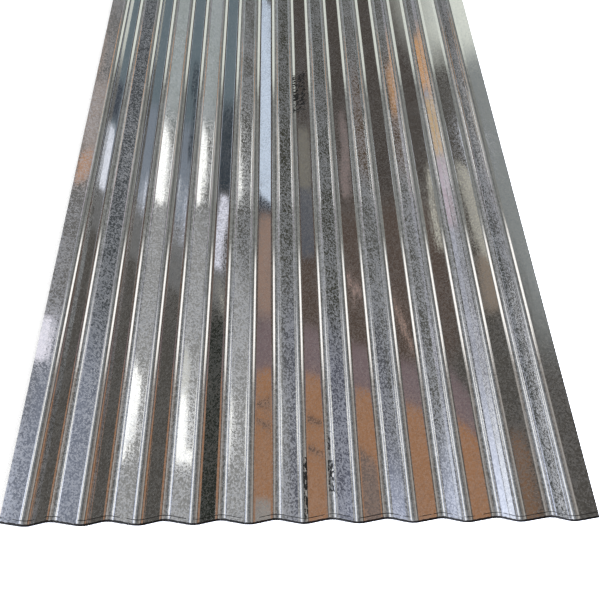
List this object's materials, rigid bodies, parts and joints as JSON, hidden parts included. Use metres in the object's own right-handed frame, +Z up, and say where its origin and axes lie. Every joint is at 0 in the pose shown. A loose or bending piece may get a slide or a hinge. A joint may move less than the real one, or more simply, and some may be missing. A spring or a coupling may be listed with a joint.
{
  "type": "corrugated metal sheet",
  "caption": "Rectangular galvanised steel sheet rolled into even parallel waves, both long edges turned up, lapped with others as roofing or wall cladding.",
  "frame": {"origin": "on the floor under the middle of the sheet, below the centre of the middle trough", "axes": "+X across the waves, +Y along the waves, the sheet's longest way, +Z up out of the sheet"},
  "size_m": [0.8098, 1.8, 0.018],
  "materials": {
    "galvanised_steel": "hot-dip galvanised, fine spangle, bright to satin"
  },
  "bodies": {
    "root": {"corrugated_sheet": "galvanised_steel"}
  },
  "joints": []
}
